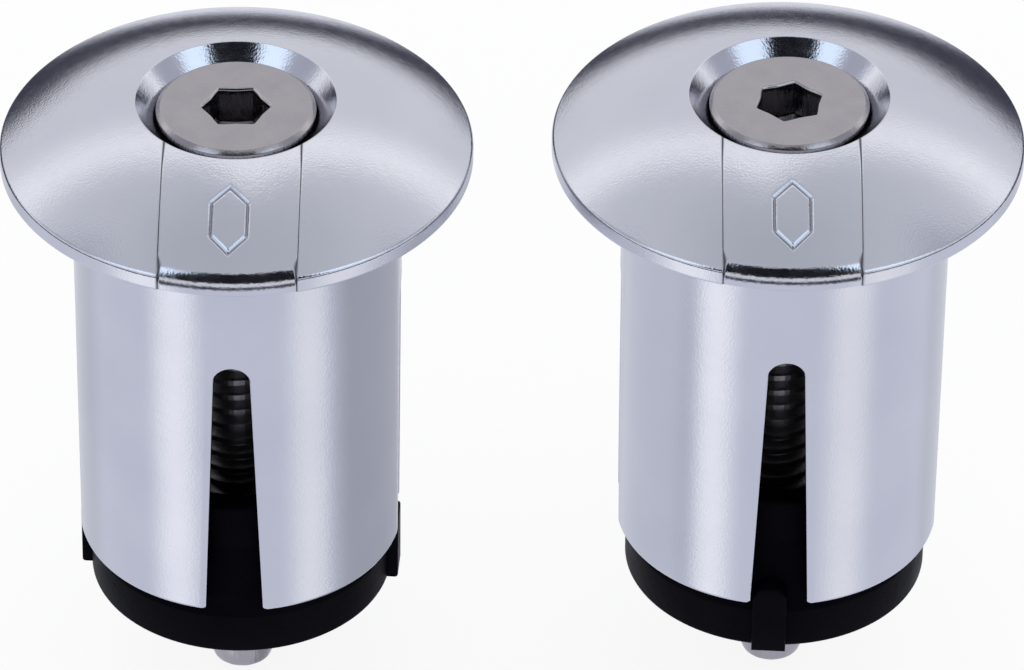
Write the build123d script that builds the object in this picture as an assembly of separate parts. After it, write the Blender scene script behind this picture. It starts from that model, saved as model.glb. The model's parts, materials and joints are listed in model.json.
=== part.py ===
"""Pair of expanding handlebar end plugs.

Each plug is one die cast cap and split sleeve, a countersunk hex socket screw, a moulded wedge and a captive nut.
Turning the screw draws the nut and wedge up into the sleeve, and the wedge's cone spreads the sleeve's four
fingers inside the handlebar. Millimetres, +Z up. The origin is on the left plug's axis, at the underside of its
flange, where the end of the handlebar meets it.
"""

import os
from math import radians, sqrt, tan

from build123d import *

# Cap: a shallow dome with a plain rim
cap_diameter = 27.2
rim_height = 1.0
rim_top_round = 0.3
rim_bottom_round = 0.2
dome_radius = 27.0
recess_diameter = 11.56
web_thickness = 2.0
web_corner_round = 1.0

# Sunk panel that runs from the recess to the rim, with its engraved mark
panel_width = 7.9
panel_depth = 0.15
mark_width = 2.4
mark_length = 4.6
mark_groove = 0.34
mark_depth = 0.12
mark_radius_from_axis = 9.7

# Sleeve, split by slots into fingers
sleeve_diameter = 19.0
sleeve_wall = 1.4
sleeve_length = 26.0
sleeve_tip_wall = 0.85
sleeve_tip_round = 0.25
slot_count = 4
slot_top_width = 2.1
slot_bottom_width = 3.3
slot_top_depth = 8.2
slot_corner_round = 0.3
finger_root_gap = 0.03

# Screw
screw_diameter = 4.9
screw_length = 40.0
screw_end_chamfer = 0.45
head_diameter = 9.3
head_band = 0.62
head_edge_round = 0.12
socket_flats = 3.35
socket_depth = 2.3
seat_clearance = 0.06
hole_clearance = 0.25

# Wedge
cone_angle = 20.0
cone_gap = 0.1
pilot_gap = 0.7
pilot_reach = 6.1
pilot_wall = 1.4
cup_depth = 3.6
band_inset = 0.63
band_reach = 3.5
band_round = 0.25
lug_width = 2.0
lug_reach = 1.2
lug_inset = 0.05
lug_root = 1.9

# Nut
nut_flats = 8.0
nut_height = 4.0
nut_sink = 0.2
nut_clearance = 0.05
thread_clearance = 0.05

# The pair: the gap between the two rims, and how each plug's pieces are turned about its own axis, in degrees
plug_gap = 4.5
plug_spacing = cap_diameter + plug_gap
plugs = {
    "left": {"x": 0.0, "cap": -2.6, "wedge": 84.2, "socket": 0.0},
    "right": {"x": plug_spacing, "cap": -1.9, "wedge": -5.1, "socket": 18.0},
}

# Worked out from the sizes above
cap_radius = cap_diameter / 2
sleeve_radius = sleeve_diameter / 2
bore_radius = sleeve_radius - sleeve_wall
recess_radius = recess_diameter / 2
screw_radius = screw_diameter / 2
head_radius = head_diameter / 2
hole_radius = screw_radius + hole_clearance
dome_centre = rim_height - sqrt(dome_radius**2 - cap_radius**2)
sleeve_bottom = -sleeve_length
finger_root = -(slot_top_depth + slot_top_width / 2)
slope = tan(radians(cone_angle))


def dome_height(radius):
    """Height of the dome's surface at a distance from the axis."""
    return dome_centre + sqrt(dome_radius**2 - radius**2)


def seat_height(radius):
    """Height of the 90 degree countersink, which runs from the dome's recess down to the screw's hole."""
    return dome_height(recess_radius) - (recess_radius - radius)


head_bottom = seat_height(head_radius) + seat_clearance
head_top = head_bottom + head_band
web_bottom = seat_height(hole_radius) - web_thickness
tip_bore_radius = sleeve_radius - sleeve_tip_wall
cone_radius_at_tip = tip_bore_radius - cone_gap
pilot_radius = bore_radius - pilot_gap
band_radius = sleeve_radius - band_inset
band_bottom = sleeve_bottom - band_reach
pilot_top = sleeve_bottom + pilot_reach


def near(shape, x, y):
    """The corner of a flat outline that is nearest to a point."""
    return shape.vertices().sort_by_distance((x, y, 0))[0]


def turned(outline):
    """A solid of revolution about Z, from an outline whose x is the radius and y is the height."""
    return revolve(Plane.XZ * outline, Axis.Z)


def hexagon(flats):
    """A hexagon with a corner on +X."""
    return RegularPolygon(flats / 2, 6, major_radius=False)


def mark(width, length):
    """The mark's long hexagon, pointed towards the axis and the rim."""
    shoulder = length / 2 - width / 2
    corners = [(0, length / 2), (width / 2, shoulder), (width / 2, -shoulder)]
    corners += [(-x, -y) for x, y in corners]
    return Pos(0, -mark_radius_from_axis) * make_face(Polyline(*corners, close=True))


def dome_layer(top, bottom):
    """The layer of the dome between two depths under its surface."""
    layer = Sphere(dome_radius - top) - Sphere(dome_radius - bottom)
    return Pos(0, 0, dome_centre) * layer


def cap():
    """Dome, flange and the closed upper part of the sleeve, with the round top ends of the slots."""
    underside = Polyline(
        (hole_radius, web_bottom),
        (bore_radius, web_bottom),
        (bore_radius, finger_root),
        (sleeve_radius, finger_root),
        (sleeve_radius, 0),
        (cap_radius, 0),
        (cap_radius, rim_height),
    )
    middle = (cap_radius + recess_radius) / 2
    dome = ThreePointArc(
        (cap_radius, rim_height),
        (middle, dome_height(middle)),
        (recess_radius, dome_height(recess_radius)),
    )
    seat = Polyline(
        (recess_radius, dome_height(recess_radius)),
        (hole_radius, seat_height(hole_radius)),
        (hole_radius, web_bottom),
    )
    outline = make_face(underside + dome + seat)
    outline = fillet(near(outline, cap_radius, rim_height), rim_top_round)
    outline = fillet(near(outline, cap_radius, 0), rim_bottom_round)
    outline = fillet(near(outline, bore_radius, web_bottom), web_corner_round)
    body = turned(outline)

    for quarter in range(slot_count // 2):
        across = Rot(0, 0, quarter * 360 / slot_count) * Rot(90, 0, 0)
        body -= Pos(0, 0, finger_root) * across * Cylinder(slot_top_width / 2, cap_diameter)

    strip = Pos(0, -cap_radius) * Rectangle(panel_width, 2 * (cap_radius - hole_radius))
    body -= dome_layer(-1, panel_depth) & extrude(strip, dome_radius)
    groove = mark(mark_width, mark_length) - mark(mark_width - 2 * mark_groove, mark_length - 2 * mark_groove)
    body -= dome_layer(-1, panel_depth + mark_depth) & extrude(groove, dome_radius)
    return body


def slot_cutter():
    """One tapered slot right through the sleeve, flared at its open end to round the fingers' corners."""
    top, bottom = slot_top_width / 2, slot_bottom_width / 2
    corner = sleeve_bottom + slot_corner_round
    side = [
        Line((top, finger_root + 1), (top, finger_root)),
        Line((top, finger_root), (bottom, corner)),
        RadiusArc((bottom, corner), (bottom + slot_corner_round, sleeve_bottom), slot_corner_round),
        Line((bottom + slot_corner_round, sleeve_bottom), (bottom + slot_corner_round, sleeve_bottom - 1)),
    ]
    right = Wire(side)
    left = mirror(right, about=Plane.YZ)
    closing = [
        Line((-top, finger_root + 1), (top, finger_root + 1)),
        Line(left @ 1, right @ 1),
    ]
    outline = make_face(right.edges() + left.edges() + closing)
    return extrude(Plane.XZ * outline, sleeve_diameter, both=True)


def fingers():
    """The split lower part of the sleeve, bored to a cone at its tip for the wedge."""
    top = finger_root - finger_root_gap
    taper_top = sleeve_bottom + (tip_bore_radius - bore_radius) / slope
    outline = make_face(
        Polyline(
            (bore_radius, top),
            (sleeve_radius, top),
            (sleeve_radius, sleeve_bottom),
            (tip_bore_radius, sleeve_bottom),
            (bore_radius, taper_top),
            close=True,
        )
    )
    outline = fillet(near(outline, sleeve_radius, sleeve_bottom), sleeve_tip_round)
    ring = turned(outline)
    for quarter in range(slot_count // 2):
        ring -= Rot(0, 0, quarter * 360 / slot_count) * slot_cutter()
    between_slots = 360 / slot_count
    front_right = Axis((0, 0, 0), (1, -1, 0))
    found = {}
    for solid in ring.solids():
        centre = solid.center()
        angle = (Vector(centre.X, centre.Y).get_signed_angle(front_right.direction, Vector(0, 0, -1))) % 360
        found[round(angle / between_slots) % slot_count] = solid
    return [found[k] for k in range(slot_count)]


def screw(socket_turn):
    """Countersunk screw with a hexagon socket, its thread left as a plain cylinder of the thread's outer size."""
    tip = head_top - screw_length
    outline = make_face(
        Polyline(
            (0, head_top),
            (head_radius, head_top),
            (head_radius, head_bottom),
            (screw_radius, head_bottom - (head_radius - screw_radius)),
            (screw_radius, tip + screw_end_chamfer),
            (screw_radius - screw_end_chamfer, tip),
            (0, tip),
            close=True,
        )
    )
    outline = fillet(near(outline, head_radius, head_top), head_edge_round)
    socket = extrude(hexagon(socket_flats), socket_depth)
    return turned(outline) - Pos(0, 0, head_top - socket_depth) * Rot(0, 0, socket_turn) * socket


def wedge():
    """Moulded wedge: band, cone and hollow pilot, two lugs on the Y axis and a hexagon pocket for the nut."""
    band_top = sleeve_bottom - (band_radius - cone_radius_at_tip) / slope
    cone_top = sleeve_bottom + (cone_radius_at_tip - pilot_radius) / slope
    cup_floor = pilot_top - cup_depth
    cup_radius = pilot_radius - pilot_wall
    outline = make_face(
        Polyline(
            (hole_radius, band_bottom),
            (band_radius, band_bottom),
            (band_radius, band_top),
            (pilot_radius, cone_top),
            (pilot_radius, pilot_top),
            (cup_radius, pilot_top),
            (cup_radius, cup_floor),
            (hole_radius, cup_floor),
            close=True,
        )
    )
    outline = fillet(near(outline, band_radius, band_bottom), band_round)
    outline = fillet(near(outline, pilot_radius, pilot_top), band_round)
    body = turned(outline)

    lug_radius = sleeve_radius - lug_inset
    lug_top = sleeve_bottom + lug_reach
    shaft = Pos(0, (band_bottom + lug_top - lug_width / 2) / 2) * Rectangle(
        lug_width, lug_top - lug_width / 2 - band_bottom
    )
    face = shaft + Pos(0, lug_top - lug_width / 2) * Circle(lug_width / 2)
    through = extrude(Plane.XZ * face, sleeve_diameter, both=True)
    rim = Cylinder(lug_radius, sleeve_diameter) - Cylinder(band_radius - lug_root, sleeve_diameter)
    body += through & Pos(0, 0, lug_top - sleeve_diameter / 2 + 1) * rim

    pocket = extrude(hexagon(nut_flats + 2 * nut_clearance), nut_sink + nut_height + nut_clearance)
    return body - Pos(0, 0, band_bottom) * pocket


def nut():
    """Hexagon nut, its corners turned off at 30 degrees on both faces."""
    across_corners = nut_flats / sqrt(0.75)
    rise = (across_corners - nut_flats) / 2 * tan(radians(30))
    blank = make_face(
        Polyline(
            (screw_radius + thread_clearance, 0),
            (nut_flats / 2, 0),
            (across_corners / 2, rise),
            (across_corners / 2, nut_height - rise),
            (nut_flats / 2, nut_height),
            (screw_radius + thread_clearance, nut_height),
            close=True,
        )
    )
    body = turned(blank) & extrude(hexagon(nut_flats), nut_height)
    return Pos(0, 0, band_bottom + nut_sink) * body


def plug(side, place):
    """Every piece of one plug, where it stands in the pair, by node name."""
    stand = Pos(place["x"], 0, 0)
    pieces = {f"{side}_cap": stand * Rot(0, 0, place["cap"]) * cap()}
    for k, finger in enumerate(fingers(), start=1):
        pieces[f"{side}_finger_{k}"] = stand * Rot(0, 0, place["cap"]) * finger
    pieces[f"{side}_screw"] = stand * screw(place["socket"])
    pieces[f"{side}_wedge"] = stand * Rot(0, 0, place["wedge"]) * wedge()
    pieces[f"{side}_nut"] = stand * Rot(0, 0, place["wedge"]) * nut()
    return pieces


os.makedirs("parts", exist_ok=True)
for side, place in plugs.items():
    for name, piece in plug(side, place).items():
        export_step(piece, f"parts/{name}.step")
        print(name, round(piece.volume, 1))
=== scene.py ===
"""A pair of expanding handlebar end plugs, chrome plated, on a plain studio floor.

Lengths are written in millimetres, and each mesh is turned to metres when it is made. Each plug's pieces
are worked out round an axis at zero, with the sunk panel towards -Y, then turned and moved into place.
"""

import json
import math

import bmesh
import bpy
import numpy as np
from mathutils import Matrix, Vector


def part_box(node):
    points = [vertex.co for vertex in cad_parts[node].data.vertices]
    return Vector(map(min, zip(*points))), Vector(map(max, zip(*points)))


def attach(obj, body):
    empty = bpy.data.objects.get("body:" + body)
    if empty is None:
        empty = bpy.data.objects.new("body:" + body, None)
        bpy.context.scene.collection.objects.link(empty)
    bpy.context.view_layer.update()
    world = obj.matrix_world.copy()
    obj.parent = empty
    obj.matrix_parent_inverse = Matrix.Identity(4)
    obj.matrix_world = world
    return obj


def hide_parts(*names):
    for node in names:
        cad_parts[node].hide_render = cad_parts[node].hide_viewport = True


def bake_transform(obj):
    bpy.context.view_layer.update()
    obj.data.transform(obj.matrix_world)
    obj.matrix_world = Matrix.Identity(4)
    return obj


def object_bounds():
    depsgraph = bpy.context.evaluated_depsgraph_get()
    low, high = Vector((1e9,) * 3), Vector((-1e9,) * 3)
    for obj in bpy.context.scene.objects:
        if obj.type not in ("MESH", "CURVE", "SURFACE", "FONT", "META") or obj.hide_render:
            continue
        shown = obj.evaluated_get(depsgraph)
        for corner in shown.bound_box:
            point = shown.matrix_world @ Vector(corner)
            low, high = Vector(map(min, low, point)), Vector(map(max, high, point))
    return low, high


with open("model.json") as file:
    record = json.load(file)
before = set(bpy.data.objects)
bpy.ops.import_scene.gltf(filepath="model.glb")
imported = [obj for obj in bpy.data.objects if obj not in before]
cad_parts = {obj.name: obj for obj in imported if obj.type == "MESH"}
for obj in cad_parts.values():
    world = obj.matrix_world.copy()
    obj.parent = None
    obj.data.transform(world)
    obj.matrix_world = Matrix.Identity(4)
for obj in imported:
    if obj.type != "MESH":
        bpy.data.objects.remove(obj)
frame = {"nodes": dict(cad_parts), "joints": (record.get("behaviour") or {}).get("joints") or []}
cad_low, cad_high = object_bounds()

# --------------------------------------------------------------------------------------------------
# The camera stands in front, looking down on the pair, a long way back so that both sleeves look upright.
# It leans a little to one side. The view keeps straight tones, without a film curve.

MM = 0.001
SIDES = ("left", "right")


def axis_x(side):
    """Where a plug's axis stands along X, in millimetres, from its screw."""
    low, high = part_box(f"{side}_screw")
    return (low.x + high.x) / 2 / MM


pair_centre = sum(axis_x(side) for side in SIDES) / 2
aim = Vector((pair_centre, 0, -13)) * MM
azimuth, elevation, lean = (math.radians(v) for v in (-2.0418, 37.1059, 0.6561))
camera_distance = 501.95 * MM
back = Vector((
    math.sin(azimuth) * math.cos(elevation),
    -math.cos(azimuth) * math.cos(elevation),
    math.sin(elevation),
))
level = Vector((math.cos(azimuth), math.sin(azimuth), 0))
upright = back.cross(level)
right = level * math.cos(lean) + upright * math.sin(lean)
up = upright * math.cos(lean) - level * math.sin(lean)

camera = bpy.data.objects.new("camera", bpy.data.cameras.new("camera"))
bpy.context.scene.collection.objects.link(camera)
camera.matrix_world = Matrix.LocRotScale(
    aim + back * camera_distance, Matrix((right, up, back)).transposed(), None
)
camera.data.sensor_width = 36
camera.data.lens = 302.17
camera.data.shift_x = 0.00154
camera.data.shift_y = -0.00072
camera.data.clip_start = 0.01
bpy.context.scene.camera = camera
bpy.context.scene.view_settings.view_transform = "Standard"

# --------------------------------------------------------------------------------------------------
# The floor is a large pale sheet at the height of the screws' tips, mostly glowing an even white, in a pale
# room.
# Polished metal shows what stands round it, so the lamps and screens are patches of a ball round the pair:
# the camera doesn't see them, and each fades out at its edges.


class Wire:
    """A shader socket that can be used in sums. Every operation on it adds a Math node."""

    def __init__(self, tree, socket):
        self.tree, self.socket = tree, socket

    def _math(self, operation, *values, clamp=False):
        settings = {"operation": operation, "use_clamp": clamp}
        return self.tree.add("ShaderNodeMath", settings, dict(enumerate(values)))

    def __add__(self, other):
        return self._math("ADD", self, other)

    def __sub__(self, other):
        return self._math("SUBTRACT", self, other)

    def __rsub__(self, other):
        return self._math("SUBTRACT", other, self)

    def __mul__(self, other):
        return self._math("MULTIPLY", self, other)

    def __truediv__(self, other):
        return self._math("DIVIDE", self, other)

    def __pow__(self, other):
        return self._math("POWER", self, other)

    __radd__ = __add__
    __rmul__ = __mul__

    def clamped(self):
        return self._math("ADD", self, 0.0, clamp=True)


class Tree:
    """A material's or the world's node tree, with one method that adds any node."""

    def __init__(self, owner):
        owner.use_nodes = True
        self.nodes, self.links = owner.node_tree.nodes, owner.node_tree.links
        self.nodes.clear()

    def add(self, kind, settings=None, inputs=None, output=0):
        """Adds a node, makes its settings, then sets or links its inputs, and gives one of its outputs."""
        node = self.nodes.new(kind)
        for name, value in (settings or {}).items():
            if name == "stops":
                ramp = node.color_ramp
                while len(ramp.elements) < len(value):
                    ramp.elements.new(0.5)
                for element, (place, colour) in zip(ramp.elements, value):
                    element.position, element.color = place, (*colour, 1)
            else:
                setattr(node, name, value)
        for name, value in (inputs or {}).items():
            if isinstance(value, Wire):
                self.links.new(value.socket, node.inputs[name])
            elif isinstance(value, tuple) and node.inputs[name].type == "RGBA":
                node.inputs[name].default_value = (*value, 1)
            else:
                node.inputs[name].default_value = value
        return Wire(self, node.outputs[output]) if node.outputs else None

    def ramp(self, value, *stops):
        """A value turned to a tone by stops of (place, grey) or of (place, colour)."""
        stops = [(place, tone if isinstance(tone, tuple) else (tone,) * 3) for place, tone in stops]
        return self.add("ShaderNodeValToRGB", {"stops": stops}, {"Fac": value})

    def mix(self, share, first, second):
        """One colour turned to another as share goes from 0 to 1."""
        return self.add(
            "ShaderNodeMix", {"data_type": "RGBA"}, {"Factor": share, 6: first, 7: second}, output=2
        )


def new_object(name, mesh):
    made = bpy.data.objects.new(name, mesh)
    bpy.context.scene.collection.objects.link(made)
    return made


floor_height = cad_low.z
floor_half = 3.0
mesh = bpy.data.meshes.new("floor")
mesh.from_pydata(
    [(x * floor_half, y * floor_half, floor_height) for x, y in ((-1, -1), (1, -1), (1, 1), (-1, 1))],
    [],
    [(0, 1, 2, 3)],
)
floor = new_object("floor", mesh)
floor.visible_glossy = False

material = bpy.data.materials.new("pale_floor")
tree = Tree(material)
sheet = tree.add("ShaderNodeBsdfDiffuse", None, {"Color": (0.9, 0.9, 0.91)})
glow = tree.add("ShaderNodeEmission", None, {"Color": (1.0, 1.0, 1.0), "Strength": 1.02})
surface = tree.add("ShaderNodeMixShader", None, {0: 0.85, 1: sheet, 2: glow})
tree.add("ShaderNodeOutputMaterial", None, {"Surface": surface})
mesh.materials.append(material)

world = bpy.data.worlds.new("room")
bpy.context.scene.world = world
tree = Tree(world)
direction = tree.add("ShaderNodeTexCoord", output=0)
height = tree.add("ShaderNodeSeparateXYZ", None, {0: direction}, output=2)
tone = tree.ramp(
    height * 0.5 + 0.5,
    (0.00, (0.90, 0.915, 1.00)),
    (0.35, (0.90, 0.915, 1.00)),
    (0.50, (0.98, 0.985, 1.00)),
    (0.80, (1.01, 1.01, 1.03)),
    (0.95, (0.82, 0.83, 0.86)),
    (1.00, (0.69, 0.71, 0.74)),
)
room = tree.add("ShaderNodeBackground", None, {"Color": tone, "Strength": 1.0})
tree.add("ShaderNodeOutputWorld", None, {"Surface": room})


def glowing(name, points, shares, colour):
    """A surface that only reflections show, clear where its share is 0. Its points are a square grid."""
    side = math.isqrt(len(points))
    corners = [i * side + j for i in range(side - 1) for j in range(side - 1)]
    faces = [(k, k + 1, k + side + 1, k + side) for k in corners]
    mesh = bpy.data.meshes.new(name)
    mesh.from_pydata(points, [], faces)
    mesh.attributes.new("fade", "FLOAT", "POINT").data.foreach_set("value", shares)
    card = new_object(name, mesh)
    card.visible_camera = False
    card.visible_diffuse = False
    card.visible_shadow = False

    material = bpy.data.materials.new(name)
    tree = Tree(material)
    share = tree.add("ShaderNodeAttribute", {"attribute_name": "fade"}, output=2)
    clear = tree.add("ShaderNodeBsdfTransparent")
    glow = tree.add("ShaderNodeEmission", None, {"Color": colour, "Strength": 1.0})
    surface = tree.add("ShaderNodeMixShader", None, {0: share, 1: clear, 2: glow})
    tree.add("ShaderNodeOutputMaterial", None, {"Surface": surface})
    mesh.materials.append(material)


def eased(inside, fade):
    """0 at an edge, rising to 1 at a distance of fade inside it, with level ends."""
    share = min(max(inside / fade, 0), 1)
    return share * share * (3 - 2 * share)


def studio_card(name, azimuths, elevations, colour, fade=6, distance=350):
    """A patch of a ball round the pair. Azimuths are clockwise from straight behind, seen from above, and
    both ranges are in degrees. Elevations may follow the azimuth."""
    steps = 64
    low_a, high_a = azimuths
    points, shares = [], []
    for i in range(steps + 1):
        a = low_a + (high_a - low_a) * i / steps
        low_e, high_e = elevations(a) if callable(elevations) else elevations
        for j in range(steps + 1):
            e = low_e + (high_e - low_e) * j / steps
            ring = math.cos(math.radians(e))
            points.append((
                (pair_centre + distance * ring * math.sin(math.radians(a))) * MM,
                distance * ring * math.cos(math.radians(a)) * MM,
                distance * math.sin(math.radians(e)) * MM,
            ))
            inside = min(e - low_e, high_e - e)
            if high_a - low_a < 360:
                inside = min(inside, (a - low_a) * ring, (high_a - a) * ring)
            shares.append(eased(inside, fade))
    glowing(name, points, shares, colour)


def divider(name, x, colour):
    """An upright sheet between the plugs, below their flanges, so that neither shows in the other."""
    steps = 40
    back, front, top, bottom = 16, -14, -2, -90
    points, shares = [], []
    for i in range(steps + 1):
        y = front + (back - front) * i / steps
        for j in range(steps + 1):
            z = top + (bottom - top) * j / steps
            points.append((x * MM, y * MM, z * MM))
            shares.append(eased(min(y - front, back - y), 7) * eased(top - z, 2) * eased(z - bottom, 25))
    glowing(name, points, shares, colour)


def arch(half_height):
    """Elevations of the long lamp behind, which is highest in the middle."""
    return lambda a: (64 - 0.42 * abs(a) ** 1.08 - half_height, 64 - 0.42 * abs(a) ** 1.08 + half_height)


def horizon(a):
    """Elevations of the unlit gap behind the backdrop, which rises a little to both sides."""
    side = abs(a)
    rise = 0.0117 * min(side, 30) ** 2 * (1 - eased(side - 58, 17))
    return -17, 7.8 + rise


studio_card("horizon_gap", (-180, 180), horizon, (0.07, 0.07, 0.095), fade=10, distance=230)
studio_card("lamp_behind", (-85, 85), arch(15), (1.4, 1.4, 1.38), fade=15)
studio_card("side_wall_left", (-116, -64), (18, 62), (0.6, 0.61, 0.68), fade=12, distance=330)
studio_card("side_wall_right", (64, 116), (18, 62), (0.6, 0.61, 0.68), fade=12, distance=330)
studio_card("lamp_front_left", (-154, -100), (25, 66), (1.35, 1.55, 1.75), fade=9, distance=320)
studio_card("lamp_front_right", (100, 154), (25, 66), (1.35, 1.55, 1.75), fade=9, distance=320)
studio_card("camera_side_gap", (141, 222), (18, 70), (0.01, 0.01, 0.014), fade=4, distance=300)
studio_card("low_screen_left", (-156, -108), (-62, -12), (1.42, 1.42, 1.42), fade=17)
studio_card("low_screen_right", (108, 156), (-62, -12), (1.25, 1.25, 1.25), fade=17)
studio_card("low_screen_behind", (-72, 72), (-64, -16), (0.76, 0.78, 0.84), fade=16)
divider("divider_left", pair_centre - 0.05, (0.57, 0.58, 0.63))
divider("divider_right", pair_centre + 0.05, (0.85, 0.86, 0.93))

# --------------------------------------------------------------------------------------------------
# Cap: a shallow dome, a thin flange and the sleeve's closed top, one zinc casting with satin chrome. A strip
# from the screw's recess to the rim is sunk a little, rolls over the rim and carries a plain engraved mark.
# The screw's countersink, the hole and the round tops of the slots are cut in it.

cap_radius = (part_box("left_cap")[1].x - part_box("left_cap")[0].x) / 2 / MM
finger_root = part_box("left_cap")[0].z / MM
rim_height = 1.0
rim_round = 0.3
rim_under_round = 0.2
dome_radius = 27.0
dome_centre = rim_height - math.sqrt(dome_radius**2 - cap_radius**2)
recess_radius = 11.56 / 2
recess_edge_round = 0.1
# Painted shade: inside this radius the countersink's colour is made dark, in the gap round the screw's head.
seat_corner = 4.85
seat_corner_fade = 0.2
seat_corner_painted_shade = 0.9
hole_radius = 2.7
web_bottom = -1.01
web_corner_round = 1.0
sleeve_radius = 9.5
bore_radius = 8.1
sleeve_root_round = 0.3
panel_half = 3.95
panel_wall = 0.13
panel_depth = 0.15
panel_roll = 1.3
# Painted shade: how dark the colour is made along the middle of the sunk panel's step wall.
step_painted_shade = 0.9
mark_radius_from_axis = 9.7
mark_half_width = 1.2
mark_half_length = 2.3
mark_groove = 0.34
mark_depth = 0.12
# Painted shade: how dark the mark's groove is painted at its deepest.
mark_painted_shade = 0.45
slot_half_top = 1.05
slot_edge_round = 0.13
arch_steps, wall_steps = 20, 30
# Painted shade: how dark the colour is made in the bore, on the slots' inner edges and inside the fingers.
bore_painted_shade = 0.72


def smooth(share):
    """0 to 1 with level ends, for a share that may run past either end."""
    share = np.clip(share, 0, 1)
    return share * share * (3 - 2 * share)


def arc(centre, radius, first, last, steps):
    """Points of an arc in a profile, angles in degrees from the radius axis towards the height axis."""
    angles = np.radians(np.linspace(first, last, steps + 1))
    return np.stack([centre[0] + radius * np.cos(angles), centre[1] + radius * np.sin(angles)], 1)


def line(first, last, steps):
    return np.linspace(first, last, steps + 1)


def dome_profile(depth, roll, side_radius, under_round):
    """Radius and height from the hole's top, up the countersink, over the dome and round the rim to its
    underside. The sunk panel has the same rows with its own depth, roll and side."""
    ball = dome_radius - depth
    seat = dome_centre + math.sqrt(dome_radius**2 - recess_radius**2) - recess_radius
    inner = ball - recess_edge_round
    drop = seat - math.sqrt(2) * recess_edge_round - dome_centre
    edge_r = (-drop + math.sqrt(2 * inner**2 - drop**2)) / 2
    edge = (edge_r, edge_r + drop + dome_centre)
    edge_lean = math.degrees(math.atan2(edge[1] - dome_centre, edge[0]))
    first = arc(edge, recess_edge_round, 135, edge_lean, 5)
    cone = line((hole_radius, hole_radius + seat), first[0] - (0.04, 0.04), 30)

    roll_r = side_radius - roll
    roll_height = dome_centre + math.sqrt((ball - roll) ** 2 - roll_r**2)
    roll_lean = math.degrees(math.acos(roll_r / (ball - roll)))
    last_r = roll_r + roll * math.cos(math.radians(roll_lean))
    radii = np.concatenate([
        line(first[-1][0] + 0.04, 7.2, 6),
        line(7.26, 12.2, 82),
        line(12.28, last_r - 0.03, 6),
    ])
    dome = np.stack([radii, dome_centre + np.sqrt(ball**2 - radii**2)], 1)
    roll_points = arc((roll_r, roll_height), roll, roll_lean, 0, 14)
    side = line((side_radius, roll_height - 0.02), (side_radius, under_round + 0.02), 3)
    under = arc((side_radius - under_round, under_round), under_round, 0, -90, 4)
    flat = line((side_radius - under_round - 0.05, 0), (12.6, 0), 1)
    return np.concatenate([cone, first, dome, roll_points, side, under, flat])


def panel_columns(radius):
    """Angles of the columns at one radius, in turning order from straight ahead, and each one's share of the
    panel's depth. Near the panel the columns run straight towards the rim, and elsewhere they fan out."""
    wall = panel_half + np.linspace(-panel_wall / 2, panel_wall / 2, 7)
    fine = mark_half_width + mark_groove
    across = np.concatenate([line(0, fine, 26), line(fine, wall[0] - 0.05, 7)[1:], wall, [wall[-1] + 0.05]])
    sunk = smooth((wall[-1] - across) / panel_wall)
    near = np.arcsin(across / max(radius, recess_radius))
    far = line(near[-1], math.pi, 88)[1:]
    half = np.concatenate([near, far])
    half_sunk = np.concatenate([sunk, np.zeros(len(far))])
    return np.concatenate([half, -half[-2:0:-1]]), np.concatenate([half_sunk, half_sunk[-2:0:-1]])


def mark_sink(x, y):
    """How deep the mark's groove is at a place on the panel: a long hexagon pointed towards axis and rim."""
    x, y = np.abs(x), np.abs(y + mark_radius_from_axis)
    shoulder = mark_half_length - mark_half_width
    slant = ((y - shoulder) + x - mark_half_width) / math.sqrt(2)
    away = np.maximum(x - mark_half_width, slant) + mark_groove / 2
    near = np.clip(np.abs(away) / (mark_groove / 2), 0, 1)
    return mark_depth * 0.5 * (1 + np.cos(math.pi * near))


class Shell:
    """Points and faces of a mesh that is built up from rings of points."""

    def __init__(self):
        self.points, self.faces, self.tints, self.count = [], [], [], 0

    def ring(self, points, tint=0.0):
        """Adds points, with how much painted shade darkens and dulls the surface there, and gives their
        numbers.
        """
        points = np.asarray(points, float)
        self.points.append(points)
        self.tints.append(np.broadcast_to(tint, len(points)))
        self.count += len(points)
        return list(range(self.count - len(points), self.count))

    def join(self, a, b, closed=True):
        """Quads between two rings with as many points each."""
        n = len(a)
        for i in range(n if closed else n - 1):
            k = (i + 1) % n
            self.faces.append((a[i], a[k], b[k], b[i]))

    def zip(self, a, b):
        """Triangles between two closed rings with different numbers of points, both in turning order."""
        points = np.concatenate(self.points)
        turn = [np.unwrap(np.arctan2(points[r, 1], points[r, 0])) for r in (a, b)]
        turn[1] = turn[1] + 2 * math.pi * round((turn[0][0] - turn[1][0]) / (2 * math.pi))
        ends = [np.append(t, t[0] + 2 * math.pi) for t in turn]
        i = j = 0
        while i < len(a) or j < len(b):
            first, second = a[i % len(a)], b[j % len(b)]
            if j == len(b) or (i < len(a) and ends[0][i + 1] <= ends[1][j + 1]):
                self.faces.append((first, a[(i + 1) % len(a)], second))
                i += 1
            else:
                self.faces.append((first, b[(j + 1) % len(b)], second))
                j += 1

    def mesh(self, name, side, turn, crease=32):
        """The mesh turned about the plug's axis and moved to its place, smooth between creases."""
        points = np.concatenate(self.points)
        c, s = math.cos(math.radians(turn)), math.sin(math.radians(turn))
        x, y = points[:, 0] * c - points[:, 1] * s, points[:, 0] * s + points[:, 1] * c
        placed = np.stack([x + axis_x(side), y, points[:, 2]], 1) * MM
        mesh = bpy.data.meshes.new(name)
        mesh.from_pydata(placed.tolist(), [], self.faces)
        work = bmesh.new()
        work.from_mesh(mesh)
        bmesh.ops.recalc_face_normals(work, faces=work.faces)
        work.to_mesh(mesh)
        work.free()
        # Each point's painted shade goes on the mesh for the materials to read.
        tint = mesh.attributes.new("tint", "FLOAT", "POINT")
        tint.data.foreach_set("value", np.concatenate(self.tints).astype(np.float32))
        mesh.shade_smooth()
        mesh.set_sharp_from_angle(angle=math.radians(crease))
        return mesh


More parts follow.
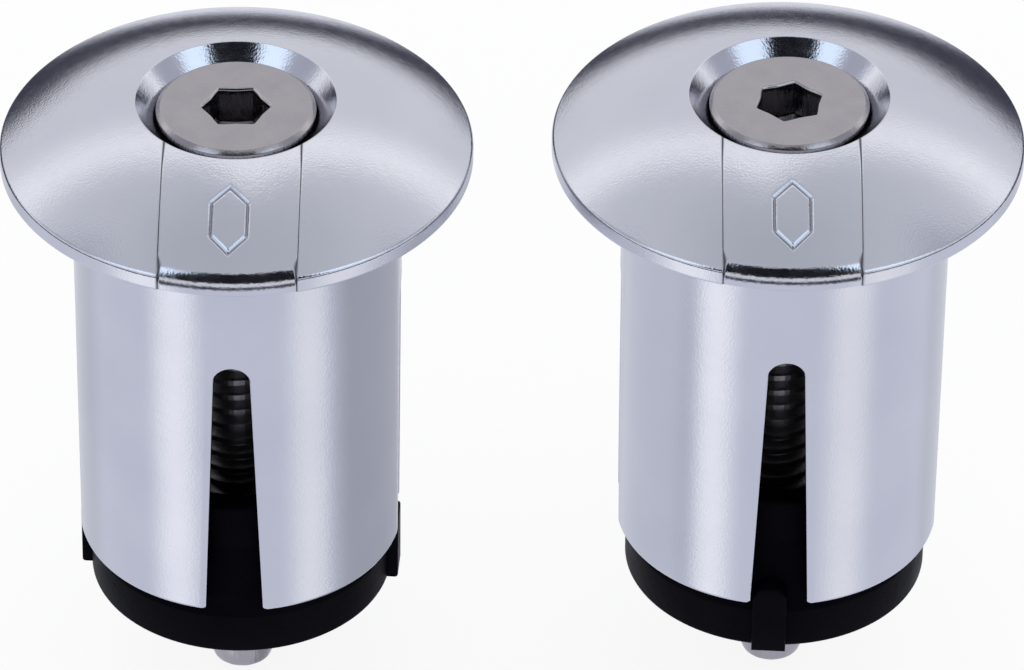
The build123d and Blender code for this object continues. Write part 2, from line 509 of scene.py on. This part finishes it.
def round_and_round(angles, radius, height):
    """A ring of points at those angles from straight ahead, which is -Y."""
    angles = np.asarray(angles, float)
    radius = np.broadcast_to(radius, angles.shape)
    height = np.broadcast_to(height, angles.shape)
    return np.stack([radius * np.sin(angles), -radius * np.cos(angles), height], 1)


def sleeve_columns(radius, slot_half):
    """Angles of a ring of the sleeve, with each arch's columns at the same places across its slot."""
    across = np.sin(np.radians(line(-90, 90, arch_steps))) * slot_half
    slot = np.arcsin(across / radius)
    wall = line(slot[-1], math.pi / 2 - slot[-1], wall_steps)[1:-1]
    quarter = np.concatenate([slot, wall])
    return np.concatenate([quarter + k * math.pi / 2 for k in range(4)])


def arch_height(slot_half):
    """Height of the closed sleeve's lower edge on those columns: an arch over each slot, level between."""
    rise = np.cos(np.radians(line(-90, 90, arch_steps))) * slot_half
    quarter = np.concatenate([rise, np.zeros(wall_steps - 1)])
    return finger_root + np.tile(quarter, 4)


def cap_turn(side):
    """How far a casting is turned about its axis, in degrees, from where its first finger bends."""
    joint = next(j for j in frame["joints"] if j["name"] == f"{side}_finger_1_flex")
    x, y, _ = joint["pos_m"]
    return math.degrees(math.atan2(y, x - axis_x(side) * MM)) + 45


def cap_mesh(side):
    shell = Shell()
    plain = dome_profile(0, rim_round, cap_radius, rim_under_round)
    sunk = dome_profile(panel_depth, panel_roll, cap_radius - panel_depth, 0.08)
    rings = []
    for (r, z), (sunk_r, sunk_z) in zip(plain, sunk):
        angles, share = panel_columns(r)
        radius = r + (sunk_r - r) * share
        height = z + (sunk_z - z) * share
        points = round_and_round(angles, radius, height)
        # Painted shade: a dark line along the middle of the panel's step wall, outside the recess.
        tint = step_painted_shade * 4 * share * (1 - share) * (r > recess_radius)
        # Painted shade deep in the countersink, round the screw's head.
        tint = tint + seat_corner_painted_shade * smooth((seat_corner - r) / seat_corner_fade)
        if 7 < r < 12.5 and z > 0.5:
            sink = mark_sink(points[:, 0], points[:, 1])
            points[:, 2] -= sink
            # Painted shade in the mark's groove, darker where it is deeper.
            tint = np.maximum(tint, mark_painted_shade * sink / mark_depth)
        rings.append(shell.ring(points, tint))
    for a, b in zip(rings, rings[1:]):
        shell.join(a, b)

    root = arc((sleeve_radius + sleeve_root_round, -sleeve_root_round), sleeve_root_round, 90, 180, 5)
    wall = line((sleeve_radius, -sleeve_root_round - 0.1), (sleeve_radius, finger_root + 2.2), 4)
    outside = [shell.ring(round_and_round(sleeve_columns(r, slot_half_top), r, z))
               for r, z in [*root, *wall]]
    shell.zip(rings[-1], outside[0])
    edge = [(slot_half_top + slot_edge_round * (1 - math.sin(t)), slot_edge_round * (1 - math.cos(t)))
            for t in np.radians((0, 30, 60, 90))]
    steps = [(half, sleeve_radius - sink) for half, sink in edge]
    steps += [(half, bore_radius + sink) for half, sink in reversed(edge)]
    inside = []
    for half, radius in steps:
        # Painted shade on the inner half of the slot's edge, towards the bore.
        tint = 0.0 if radius > sleeve_radius - 0.2 else bore_painted_shade
        points = round_and_round(sleeve_columns(radius, half), radius, arch_height(half))
        inside.append(shell.ring(points, tint))
    corner = arc((bore_radius - web_corner_round, web_bottom - web_corner_round), web_corner_round, 0, 90, 5)
    bore = [(bore_radius, finger_root + 2.2), *corner, (hole_radius, web_bottom)]
    # Painted shade in the bore and under the web.
    inside += [shell.ring(round_and_round(sleeve_columns(r, slot_half_top), r, z), bore_painted_shade)
               for r, z in bore]
    whole = outside + inside
    for a, b in zip(whole, whole[1:]):
        shell.join(a, b)
    shell.zip(whole[-1], rings[0])
    return shell.mesh(f"{side}_cap_casting", side, cap_turn(side))


def chrome(name):
    """Satin chrome: a cool mirror with the casting's orange peel under it, a fine grit that breaks up dark
    reflections and a faint drift of tone. In corners, in the mark's groove and in the bore its colour is
    painted dark as shade, and it is duller there."""
    material = bpy.data.materials.new(name)
    tree = Tree(material)
    place = tree.add("ShaderNodeTexCoord", output=3)
    tint = tree.add("ShaderNodeAttribute", {"attribute_name": "tint"}, output=2)
    flat = tree.add("ShaderNodeMapping", None, {"Vector": place, "Scale": (1.0, 1.0, 1.5)})
    peel = tree.add("ShaderNodeTexNoise", None, {
        "Vector": flat, "Scale": 1500, "Detail": 2, "Roughness": 0.5,
    })
    grit = tree.add("ShaderNodeTexNoise", None, {"Vector": place, "Scale": 7500, "Detail": 2})
    drift = tree.add("ShaderNodeTexNoise", None, {"Vector": place, "Scale": 160, "Detail": 2})
    plate = tree.mix(tree.ramp(drift, (0.3, 0.0), (0.7, 1.0)), (0.508, 0.523, 0.592), (0.54, 0.553, 0.618))
    # Painted shade: the colour goes nearly black as the attribute rises, and the surface gets rougher.
    colour = tree.mix(tint, plate, (0.018, 0.018, 0.022))
    rough = tree.ramp(peel, (0.35, 0.10), (0.75, 0.16)) + tint * 0.25
    bump = tree.add("ShaderNodeBump", None, {
        "Height": peel * 0.3 + grit * 0.55, "Strength": 0.16, "Distance": 0.0001,
    })
    surface = tree.add("ShaderNodeBsdfPrincipled", None, {
        "Base Color": colour, "Metallic": 1.0, "Roughness": rough, "Normal": bump,
    })
    tree.add("ShaderNodeOutputMaterial", None, {"Surface": surface})
    return material


chrome_plate = chrome("satin_chrome")
for side in SIDES:
    cap = new_object(f"{side}_cap_casting", cap_mesh(side))
    cap.data.materials.append(chrome_plate)
    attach(cap, f"{side}_cap")
    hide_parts(f"{side}_cap")

# --------------------------------------------------------------------------------------------------
# Fingers: the sleeve below its slots' round ends, cast and plated with the cap. Each is a quarter of a tube
# with tapered sides, its edges just broken, bored to a cone inside its tip for the wedge.

sleeve_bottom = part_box("left_finger_1")[0].z / MM
slot_half_bottom = 1.65
tip_corner_round = 0.3
tip_edge_round = 0.25
tip_bore_radius = 8.65
cone_slope = math.tan(math.radians(20))


def slot_half_at(z):
    """Half the slot's width, from its parallel top to its rounded corners at the sleeve's open end."""
    corner = sleeve_bottom + tip_corner_round
    share = (finger_root - z) / (finger_root - corner)
    straight = slot_half_top + (slot_half_bottom - slot_half_top) * share
    below = np.clip(corner - z, 0, tip_corner_round)
    flare = tip_corner_round - np.sqrt(tip_corner_round**2 - below**2)
    return np.where(z > corner, straight, slot_half_bottom + flare)


def bore_at(z):
    """The fingers' inner radius."""
    return np.clip(tip_bore_radius - (z - sleeve_bottom) * cone_slope, bore_radius, tip_bore_radius)


def finger_mesh(side, number):
    """Outer and inner faces as grids with the same rows and columns, and bands of quads round them."""
    shell = Shell()
    down = np.concatenate([
        line(finger_root, sleeve_bottom + 2.4, 22),
        line(sleeve_bottom + 2.2, sleeve_bottom + 0.4, 8),
        sleeve_bottom + tip_corner_round * (1 - np.sin(np.radians(line(0, 82, 7)))),
    ])
    columns = 34

    def row(z, side_inset, tip_inset, depth_side, depth_tip, inner):
        """One row, from one slot to the next. The insets draw the outline in, and the depths sink it."""
        low = sleeve_bottom + tip_inset
        moved = low + (z - sleeve_bottom) * (finger_root - low) / (finger_root - sleeve_bottom)
        half = slot_half_at(z) + side_inset
        near_tip = float(smooth((sleeve_bottom + tip_corner_round - z) / tip_corner_round))
        depth = depth_side + (depth_tip - depth_side) * near_tip
        radius = float(bore_at(moved)) + depth if inner else sleeve_radius - depth
        first = math.asin(float(half) / radius)
        return radius, moved, first

    def grid(inner, side_inset, tip_inset, depth_side, depth_tip):
        rows = []
        for z in down:
            radius, moved, first = row(z, side_inset, tip_inset, depth_side, depth_tip, inner)
            angles = line(first, math.pi / 2 - first, columns)
            # The fingers' inner faces carry the bore's painted shade.
            rows.append(shell.ring(round_and_round(angles, radius, moved), bore_painted_shade if inner else 0))
        return rows

    def border(rows):
        return [r[0] for r in rows] + rows[-1][1:-1] + [r[-1] for r in reversed(rows)]

    def outline(inner, side_inset, tip_inset, depth_side, depth_tip):
        """Only the edge of such a grid, as one line of points."""
        left, right = [], []
        for z in down:
            radius, moved, first = row(z, side_inset, tip_inset, depth_side, depth_tip, inner)
            left.append((first, radius, moved))
            right.append((math.pi / 2 - first, radius, moved))
        angles = line(left[-1][0], right[-1][0], columns)[1:-1]
        tip = [(a, left[-1][1], left[-1][2]) for a in angles]
        whole = np.array(left + tip + right[::-1])
        # The inner outlines carry the bore's painted shade too.
        return shell.ring(round_and_round(whole[:, 0], whole[:, 1], whole[:, 2]), bore_painted_shade if inner else 0)

    turns = np.radians((0, 30, 60, 90))
    outer = [(slot_edge_round * (1 - math.sin(t)), tip_edge_round * (1 - math.sin(t)),
              slot_edge_round * (1 - math.cos(t)), tip_edge_round * (1 - math.cos(t))) for t in turns]
    inner = [(slot_edge_round * (1 - math.sin(t)), 0.08 * (1 - math.sin(t)),
              slot_edge_round * (1 - math.cos(t)), 0.08 * (1 - math.cos(t))) for t in turns]
    outer_rows = grid(False, *outer[0])
    inner_rows = grid(True, *inner[0])
    for rows in (outer_rows, inner_rows):
        for a, b in zip(rows, rows[1:]):
            shell.join(a, b, closed=False)
    bands = [border(outer_rows)]
    bands += [outline(False, *edge) for edge in outer[1:]]
    bands += [outline(True, *edge) for edge in reversed(inner[1:])]
    bands.append(border(inner_rows))
    for a, b in zip(bands, bands[1:]):
        shell.join(a, b, closed=False)
    shell.faces.append(tuple(b[0] for b in bands))
    shell.faces.append(tuple(b[-1] for b in bands))
    shell.join(outer_rows[0], inner_rows[0], closed=False)
    return shell.mesh(f"{side}_finger_{number}_plated", side, cap_turn(side) + 90 * (number - 1))


for side in SIDES:
    for number in range(1, 5):
        finger = new_object(f"{side}_finger_{number}_plated", finger_mesh(side, number))
        finger.data.materials.append(chrome_plate)
        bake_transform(finger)
        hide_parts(f"{side}_finger_{number}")

# --------------------------------------------------------------------------------------------------
# Screw: a countersunk steel screw with a hexagon socket, nickel plated. Its head is turned, with a low bevel
# and a short upright band, its socket is punched, so its sides bow in a little, and its thread is rolled.

head_radius = (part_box("left_screw")[1].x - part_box("left_screw")[0].x) / 2 / MM
head_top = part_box("left_screw")[1].z / MM
screw_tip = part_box("left_screw")[0].z / MM
head_bevel = 0.2
head_band = 0.6
head_edge_round = 0.06
shank_radius = 2.45
thread_root = 1.93
thread_pitch = 1.08
thread_top = -2.0
tip_radius = 1.65
tip_bulge = 0.08
socket_half_flats = 3.35 / 2
socket_bow = 0.06
socket_depth = 2.3
socket_lip = 0.22
# Painted shade: how dark the colour is made inside the hexagon socket.
socket_painted_shade = 0.3
socket_turns = {"left": 0.0, "right": 18.0}
columns_per_turn = 96


def socket_ring(grow):
    """A hexagon's outline with a corner towards +X, its sides bowed in, and drawn out or in by an amount."""
    angles = 2 * math.pi * np.arange(columns_per_turn) / columns_per_turn
    from_flat = (angles % (math.pi / 3)) - math.pi / 6
    flat = socket_half_flats / np.cos(from_flat)
    bow = socket_bow * np.cos(from_flat * 3) ** 2
    return angles, flat - bow + grow


def screw_head_mesh(side):
    """The socket, the head and the plain shank under it, open at the shank's lower end for the thread."""
    shell = Shell()
    turn = math.radians(socket_turns[side])

    def socket(grow, height):
        angles, radius = socket_ring(grow)
        angles = angles + turn
        # Painted shade inside the socket, from just under its lip down to its floor.
        inside = np.clip((head_top - height - socket_lip / 3) / 0.12, 0, 1) * socket_painted_shade
        return shell.ring(np.stack([radius * np.cos(angles), radius * np.sin(angles),
                                    np.full(len(angles), height)], 1), inside)

    def circle(radius, height):
        angles = 2 * math.pi * np.arange(columns_per_turn) / columns_per_turn + turn
        return shell.ring(np.stack([radius * np.cos(angles), radius * np.sin(angles),
                                    np.full(len(angles), height)], 1))

    floor_ring = socket(-0.03, head_top - socket_depth)
    # The socket's drill point carries the same painted shade.
    tip = shell.ring([(0, 0, head_top - socket_depth - 0.7)], socket_painted_shade)
    for i in range(columns_per_turn):
        shell.faces.append((tip[0], floor_ring[i], floor_ring[(i + 1) % columns_per_turn]))
    rings = [floor_ring, socket(0, head_top - 0.45), socket(0, head_top - socket_lip)]
    for t in np.radians((18, 36, 54, 72, 90)):
        rings.append(socket(socket_lip * (1 - math.cos(t)), head_top - socket_lip * (1 - math.sin(t))))
    rings.append(socket(socket_lip + 0.04, head_top))
    outer = head_radius - 0.05
    flat = outer - head_edge_round - head_bevel
    edge = head_top - head_bevel
    rings += [circle(r, head_top) for r in (2.6, 3.4, 4.0, flat - 0.03)]
    rings += [circle(flat, head_top - 0.005), circle(flat + 0.03, head_top - 0.02)]
    rings += [circle(outer - head_edge_round * (1 - math.cos(t)), edge - head_edge_round * (1 - math.sin(t)))
              for t in np.radians((60, 45, 30, 15, 0))]
    band_bottom = head_top - head_band
    rings += [circle(outer, band_bottom + 0.04), circle(outer - 0.03, band_bottom),
              circle(shank_radius + 0.15, band_bottom - (outer - shank_radius) + 0.15),
              circle(shank_radius, band_bottom - (outer - shank_radius) - 0.1),
              circle(shank_radius, thread_top + 0.2), circle(shank_radius, thread_top)]
    for a, b in zip(rings, rings[1:]):
        shell.join(a, b)
    return shell.mesh(f"{side}_screw_head", side, 0, crease=28)


class Nodes:
    """A geometry tree with named number inputs, and one method that adds any node."""

    def __init__(self, name, inputs):
        self.tree = bpy.data.node_groups.new(name, "GeometryNodeTree")
        sockets = self.tree.interface
        sockets.new_socket("Geometry", in_out="OUTPUT", socket_type="NodeSocketGeometry")
        sockets.new_socket("Geometry", in_out="INPUT", socket_type="NodeSocketGeometry")
        for label, kind in inputs:
            sockets.new_socket(label, in_out="INPUT", socket_type=f"NodeSocket{kind}")
        self.source = self.tree.nodes.new("NodeGroupInput")
        self.sink = self.tree.nodes.new("NodeGroupOutput")

    def given(self, label):
        return Field(self, self.source.outputs[label])

    def add(self, kind, settings=None, inputs=None, output=0):
        node = self.tree.nodes.new(kind)
        for name, value in (settings or {}).items():
            setattr(node, name, value)
        for name, value in (inputs or {}).items():
            for each in value if isinstance(value, list) else [value]:
                if isinstance(each, Wire):
                    self.tree.links.new(each.socket, node.inputs[name])
                else:
                    node.inputs[name].default_value = each
        return Field(self, node.outputs[output])

    def finish(self, geometry):
        """Ends the tree with real geometry and its material."""
        real = self.add("GeometryNodeRealizeInstances", None, {"Geometry": geometry})
        painted = self.add(
            "GeometryNodeSetMaterial", None, {"Geometry": real, "Material": self.given("Material")}
        )
        self.tree.links.new(painted.socket, self.sink.inputs["Geometry"])

    def made_on(self, name, mesh, values):
        """A plain mesh: the tree's result on that mesh with those values of its inputs."""
        carrier = new_object(name, mesh)
        modifier = carrier.modifiers.new(name, "NODES")
        modifier.node_group = self.tree
        for item in self.tree.interface.items_tree:
            if item.in_out == "INPUT" and item.name in values:
                modifier[item.identifier] = values[item.name]
        graph = bpy.context.evaluated_depsgraph_get()
        result = bpy.data.meshes.new_from_object(carrier.evaluated_get(graph))
        carrier.modifiers.remove(modifier)
        carrier.data = result
        return carrier


class Field(Wire):
    """A geometry tree's socket, with the sums that a shader's has."""

    def _math(self, operation, *values, clamp=False):
        settings = {"operation": operation, "use_clamp": clamp}
        return self.tree.add("ShaderNodeMath", settings, dict(enumerate(values)))

    def at_least(self, other):
        return self._math("MAXIMUM", self, other)

    def at_most(self, other):
        return self._math("MINIMUM", self, other)

    def wave(self, kind):
        return self._math(kind, self)


thread = Nodes("rolled_thread", [
    ("Axis X", "Float"), ("Top", "Float"), ("Tip", "Float"), ("Pitch", "Float"), ("Crest radius", "Float"),
    ("Root radius", "Float"), ("Tip radius", "Float"), ("Tip bulge", "Float"), ("Start angle", "Float"),
    ("Columns per turn", "Int"), ("Material", "Material"),
])
turns_needed = (thread.given("Top") - thread.given("Tip")) / thread.given("Pitch") + 2
turns = turns_needed.wave("CEIL")
rows = 13
column_count = turns * thread.given("Columns per turn") + 1
strip = thread.add("GeometryNodeMeshGrid", None, {
    "Size X": 1.0, "Size Y": 1.0, "Vertices X": column_count, "Vertices Y": rows,
})
place = thread.add("GeometryNodeInputPosition")
along = thread.add("ShaderNodeSeparateXYZ", None, {0: place}, output=0) + 0.5
across = thread.add("ShaderNodeSeparateXYZ", None, {0: place}, output=1) + 0.5
turned = along * turns
rise = thread.given("Tip") - thread.given("Pitch") + (turned + across) * thread.given("Pitch")
height = rise.at_least(thread.given("Tip")).at_most(thread.given("Top"))
from_crest = (across * 2 - 1).wave("ABSOLUTE")
crest = thread.add("ShaderNodeMapRange", {"interpolation_type": "SMOOTHSTEP"}, {
    "Value": from_crest, "From Min": 0.3, "From Max": 1.0, "To Min": 1.0, "To Max": 0.0,
})
run_out = ((height - thread.given("Top")) / thread.given("Pitch") + 1).at_least(0.0)
run_in = (1 - (height - thread.given("Tip")) / thread.given("Pitch") * 0.8).at_least(0.0)
crest = crest + (1 - crest) * run_out.at_least(run_in)
cut = thread.given("Root radius") + (thread.given("Crest radius") - thread.given("Root radius")) * crest
pointed = thread.given("Tip radius") + ((height - thread.given("Tip")) * thread.given("Tip bulge")) ** 0.5
radius = cut.at_most(pointed)
angle = turned * (2 * math.pi) + thread.given("Start angle")
spot = thread.add("ShaderNodeCombineXYZ", None, {
    0: radius * angle.wave("COSINE") + thread.given("Axis X"), 1: radius * angle.wave("SINE"), 2: height,
})
wound = thread.add("GeometryNodeSetPosition", None, {"Geometry": strip, "Position": spot})
disc = thread.add("GeometryNodeMeshCircle", {"fill_type": "NGON"}, {
    "Vertices": thread.given("Columns per turn"), "Radius": thread.given("Tip radius"),
})
base = thread.add("ShaderNodeCombineXYZ", None, {0: thread.given("Axis X"), 2: thread.given("Tip")})
around = thread.add("ShaderNodeCombineXYZ", None, {2: thread.given("Start angle")})
end = thread.add("GeometryNodeTransform", None, {"Geometry": disc, "Translation": base, "Rotation": around})
whole = thread.add("GeometryNodeJoinGeometry", None, {"Geometry": [thread.given("Geometry"), wound, end]})
welded = thread.add("GeometryNodeMergeByDistance", None, {"Geometry": whole, "Distance": 0.000002})
thread.finish(welded)


def plated_steel():
    """Bright nickel over turned steel, a little warmer and duller than the chrome, with faint clouds, glossier
    sides and fine upright marks round the head's band. Inside the sleeve the thread's colour is painted darker
    as shade, and it is rougher there, without the marks; the socket's colour is painted dark as shade too."""
    material = bpy.data.materials.new("plated_steel")
    tree = Tree(material)
    place = tree.add("ShaderNodeTexCoord", output=3)
    clouds = tree.add("ShaderNodeTexNoise", None, {"Vector": place, "Scale": 700, "Detail": 4})
    upright = tree.add("ShaderNodeMapping", None, {"Vector": place, "Scale": (1.0, 1.0, 0.06)})
    marks = tree.add("ShaderNodeTexNoise", None, {"Vector": upright, "Scale": 5200, "Detail": 2})
    grain = tree.add("ShaderNodeTexNoise", None, {"Vector": place, "Scale": 4200, "Detail": 2})
    tint = tree.add("ShaderNodeAttribute", {"attribute_name": "tint"}, output=2)
    height = tree.add("ShaderNodeSeparateXYZ", None, {0: place}, output=2)
    # Painted shade: between these heights, inside the sleeve, the thread is darker; it is also rougher there
    # and has no marks.
    sleeve_shade = tree.ramp(height * 12 + 0.5, (0.146, 0.0), (0.175, 1.0), (0.47, 1.0), (0.5, 0.0))
    bright = tree.mix(tree.ramp(clouds, (0.3, 0.0), (0.7, 1.0)), (0.32, 0.308, 0.332), (0.352, 0.338, 0.36))
    # Painted shade from the socket's attribute and from the band inside the sleeve darkens the colour.
    colour = tree.mix((tint + sleeve_shade * 0.2).clamped(), bright, (0.02, 0.018, 0.017))
    normal = tree.add("ShaderNodeNewGeometry", output=1)
    facing_up = tree.add("ShaderNodeSeparateXYZ", None, {0: normal}, output=2)
    on_side = tree.ramp(facing_up, (0.0, 1.0), (0.35, 0.0))
    turned = tree.ramp(facing_up, (0.8, 1.0), (0.95, 0.0))
    unshaded = 1 - sleeve_shade
    bump = tree.add("ShaderNodeBump", None, {
        "Height": grain * 0.25 + marks * on_side * unshaded * 1.2, "Strength": 0.35, "Distance": 0.0001,
    })
    surface = tree.add("ShaderNodeBsdfPrincipled", None, {
        "Base Color": colour,
        "Metallic": 1.0,
        "Roughness": tree.ramp(clouds, (0.3, 0.24), (0.7, 0.32)) + sleeve_shade * 0.1 - turned * unshaded * 0.12,
        "Normal": bump,
    })
    tree.add("ShaderNodeOutputMaterial", None, {"Surface": surface})
    return material


steel = plated_steel()
for side in SIDES:
    head = screw_head_mesh(side)
    screw = thread.made_on(f"{side}_screw_threaded", head, {
        "Axis X": axis_x(side) * MM,
        "Top": thread_top * MM,
        "Tip": screw_tip * MM,
        "Pitch": thread_pitch * MM,
        "Crest radius": shank_radius * MM,
        "Root radius": thread_root * MM,
        "Tip radius": tip_radius * MM,
        "Tip bulge": tip_bulge * MM,
        "Start angle": math.radians(socket_turns[side]),
        "Columns per turn": columns_per_turn // 2,
        "Material": steel,
    })
    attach(screw, f"{side}_screw")
    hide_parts(f"{side}_screw")

# --------------------------------------------------------------------------------------------------
# Wedge: one black nylon moulding. Its band stands below the sleeve, its cone spreads the fingers, a hollow
# pilot guides it up the bore, and two round-topped lugs in two of the slots keep it from turning.

wedge_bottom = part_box("left_wedge")[0].z / MM
pilot_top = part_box("left_wedge")[1].z / MM
band_radius = 8.87
cone_at_tip = 8.55
pilot_radius = 7.4
cup_radius = 6.0
cup_floor = -23.5
band_round = 0.25
shoulder_round = 0.35
lug_half_width = 1.0
lug_top = -24.8
lug_radius = 9.45
pocket_half_flats = 8.1 / 2
pocket_depth = 4.25
wedge_turns = {"left": 84.2, "right": -5.1}


def wedge_body(side):
    shell = Shell()
    columns = 144
    angles = 2 * math.pi * np.arange(columns) / columns

    def circle(radius, height):
        return shell.ring(round_and_round(angles, radius, height))

    def hexagon(half_flats, height):
        from_flat = ((angles + math.pi / 3) % (math.pi / 3)) - math.pi / 6
        return shell.ring(round_and_round(angles, half_flats / np.cos(from_flat), height))

    band_top = sleeve_bottom - (band_radius - cone_at_tip) / cone_slope
    cone_top = sleeve_bottom + (cone_at_tip - pilot_radius) / cone_slope
    lead = math.degrees(math.atan(cone_slope))
    tangent = shoulder_round * math.tan(math.radians(lead / 2))
    shoulder = arc((band_radius - shoulder_round, band_top - tangent), shoulder_round, 0, lead, 5)
    under = arc((band_radius - band_round, wedge_bottom + band_round), band_round, -90, 0, 5)
    nose = arc((pilot_radius - band_round, pilot_top - band_round), band_round, 0, 90, 5)
    lip = arc((cup_radius + 0.15, pilot_top - 0.15), 0.15, 90, 180, 3)
    rings = [hexagon(pocket_half_flats, wedge_bottom + pocket_depth),
             hexagon(pocket_half_flats, wedge_bottom + 0.2),
             hexagon(pocket_half_flats + 0.05, wedge_bottom + 0.06),
             hexagon(pocket_half_flats + 0.18, wedge_bottom), circle(6.0, wedge_bottom)]
    rings += [circle(r, z) for r, z in [*under, *shoulder]]
    rings += [circle(pilot_radius, cone_top), circle(pilot_radius, cone_top + 0.1)]
    rings += [circle(r, z) for r, z in [*nose, *lip]]
    rings += [circle(cup_radius, cup_floor + 0.1), circle(cup_radius - 0.1, cup_floor)]
    rings += [circle(3.2, cup_floor), circle(hole_radius, cup_floor - 0.4)]
    rings.append(circle(hole_radius, wedge_bottom + pocket_depth))
    for a, b in zip(rings, rings[1:]):
        shell.join(a, b)
    shell.join(rings[-1], rings[0])
    return shell.mesh(f"{side}_wedge_body", side, wedge_turns[side])


def lug_shell(side, across):
    """One lug: an upright rib with a round top, its outer face curved like the band and its edges broken."""
    shell = Shell()
    inner = band_radius - 1.9
    crown = lug_top - lug_half_width
    outline = [(lug_half_width, wedge_bottom)]
    outline += [(lug_half_width * math.cos(t), crown + lug_half_width * math.sin(t))
                for t in np.radians(line(0, 180, 16))]
    outline += [(-lug_half_width, wedge_bottom)]
    outline = np.array(outline)
    middle = np.array((0.0, (wedge_bottom + crown) / 2))
    edge = 0.16

    def face(inset, radius):
        toward = middle - outline
        toward /= np.linalg.norm(toward, axis=1)[:, None]
        flat = outline + toward * inset
        depth = np.sqrt(radius**2 - flat[:, 0] ** 2)
        return shell.ring(np.stack([flat[:, 0], -depth * across, flat[:, 1]], 1))

    rings = [face(0, inner), face(0, lug_radius - edge)]
    rings += [face(edge * (1 - math.cos(t)), lug_radius - edge * (1 - math.sin(t)))
              for t in np.radians((30, 60, 90))]
    for a, b in zip(rings, rings[1:]):
        shell.join(a, b)
    shell.faces.append(tuple(rings[0]))
    shell.faces.append(tuple(rings[-1]))
    return shell.mesh(f"{side}_lug", side, wedge_turns[side])


def black_nylon():
    """Black moulded nylon: a slight gloss, a fine eggshell skin, and faint clouds in colour and gloss."""
    material = bpy.data.materials.new("black_nylon")
    tree = Tree(material)
    place = tree.add("ShaderNodeTexCoord", output=3)
    skin = tree.add("ShaderNodeTexNoise", None, {"Vector": place, "Scale": 2600, "Detail": 3})
    cloud = tree.add("ShaderNodeTexNoise", None, {"Vector": place, "Scale": 420, "Detail": 3})
    cloudy = tree.ramp(cloud, (0.35, 0.0), (0.75, 1.0))
    colour = tree.mix(cloudy, (0.0012, 0.0012, 0.0028), (0.0022, 0.0021, 0.0042))
    bump = tree.add("ShaderNodeBump", None, {"Height": skin, "Strength": 0.2, "Distance": 0.0001})
    surface = tree.add("ShaderNodeBsdfPrincipled", None, {
        "Base Color": colour,
        "Roughness": tree.ramp(cloud, (0.3, 0.34), (0.7, 0.46)),
        "Specular IOR Level": 0.02,
        "Normal": bump,
    })
    tree.add("ShaderNodeOutputMaterial", None, {"Surface": surface})
    return material


nylon = black_nylon()
for side in SIDES:
    wedge = new_object(f"{side}_wedge_moulding", wedge_body(side))
    for across in (1, -1):
        lug = new_object("lug", lug_shell(side, across))
        union = wedge.modifiers.new("lug", "BOOLEAN")
        union.operation = "UNION"
        union.solver = "EXACT"
        union.object = lug
        graph = bpy.context.evaluated_depsgraph_get()
        joined = bpy.data.meshes.new_from_object(wedge.evaluated_get(graph))
        wedge.modifiers.remove(union)
        wedge.data = joined
        bpy.data.objects.remove(lug)
    wedge.data.shade_smooth()
    wedge.data.set_sharp_from_angle(angle=math.radians(32))
    wedge.data.materials.clear()
    wedge.data.materials.append(nylon)
    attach(wedge, f"{side}_wedge")
    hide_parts(f"{side}_wedge")

# --------------------------------------------------------------------------------------------------
# Nut: a plain hexagon nut of zinc plated steel, held in the wedge's pocket from below. The solid from the
# model has the right shape, so it stays and gets the plating: bright, slightly blue, with a spangled grain.

material = bpy.data.materials.new("zinc_plate")
tree = Tree(material)
place = tree.add("ShaderNodeTexCoord", output=3)
spangle = tree.add("ShaderNodeTexVoronoi", None, {"Vector": place, "Scale": 1800})
haze = tree.add("ShaderNodeTexNoise", None, {"Vector": place, "Scale": 600, "Detail": 3})
colour = tree.mix(tree.ramp(haze, (0.3, 0.0), (0.7, 1.0)), (0.52, 0.53, 0.53), (0.63, 0.64, 0.66))
bump = tree.add("ShaderNodeBump", None, {"Height": spangle, "Strength": 0.15, "Distance": 0.0001})
surface = tree.add("ShaderNodeBsdfPrincipled", None, {
    "Base Color": colour,
    "Metallic": 1.0,
    "Roughness": tree.ramp(haze, (0.3, 0.28), (0.7, 0.4)),
    "Normal": bump,
})
tree.add("ShaderNodeOutputMaterial", None, {"Surface": surface})
for side in SIDES:
    nut = frame["nodes"][f"{side}_nut"]
    nut.data.materials.clear()
    nut.data.materials.append(material)
